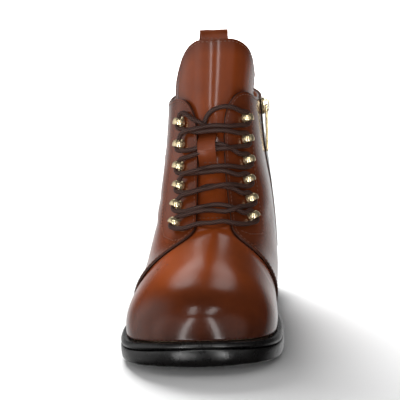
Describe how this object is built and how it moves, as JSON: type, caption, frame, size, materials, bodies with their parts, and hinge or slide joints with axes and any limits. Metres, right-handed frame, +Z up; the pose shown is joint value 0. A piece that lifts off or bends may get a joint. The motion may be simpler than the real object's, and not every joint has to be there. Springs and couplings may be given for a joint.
{
  "type": "lace-up boot",
  "caption": "Right lace-up ankle boot: hollow leather upper with lapped quarters, tall tongue, lace hooks, side zip, back pull loop and a low heeled rubber sole.",
  "frame": {"origin": "centre of the bounding box's base, on the floor", "axes": "toe towards -Y, heel towards +Y, outer side of the foot -X, inner side with the zip +X, +Z up"},
  "size_m": [0.0999, 0.275, 0.1816],
  "materials": {
    "leather": "burnished satin",
    "rubber": "satin",
    "insole_board": "matt",
    "lace_cord": "woven",
    "zip_fabric": "woven tape",
    "gilt_metal": "polished pale gold"
  },
  "bodies": {
    "boot": {"outsole": "rubber", "heel": "rubber", "midsole": "rubber", "insole": "insole_board", "upper": "leather", "quarter_lateral": "leather", "quarter_medial": "leather", "tongue": "leather", "tongue_loop": "leather", "pull_loop": "leather", "zip_tape": "zip_fabric", "zip_slider": "gilt_metal", "hook_lateral_1": "gilt_metal", "hook_lateral_2": "gilt_metal", "hook_lateral_3": "gilt_metal", "hook_lateral_4": "gilt_metal", "hook_lateral_5": "gilt_metal", "hook_lateral_6": "gilt_metal", "hook_medial_1": "gilt_metal", "hook_medial_2": "gilt_metal", "hook_medial_3": "gilt_metal", "hook_medial_4": "gilt_metal", "hook_medial_5": "gilt_metal", "hook_medial_6": "gilt_metal", "lace_bar": "lace_cord", "lace_crossing_1": "lace_cord", "lace_crossing_2": "lace_cord", "lace_crossing_3": "lace_cord", "lace_crossing_4": "lace_cord", "lace_crossing_5": "lace_cord", "lace_end_lateral": "lace_cord", "lace_end_medial": "lace_cord"},
    "zip_puller": {"zip_puller": "gilt_metal"}
  },
  "joints": [
    {"name": "puller_hinge", "type": "hinge", "parent": "boot", "child": "zip_puller", "pos_m": [0.03697, 0.054, 0.13315], "axis": [-0.0007, -1, 0], "range_deg": [0, 165]}
  ]
}
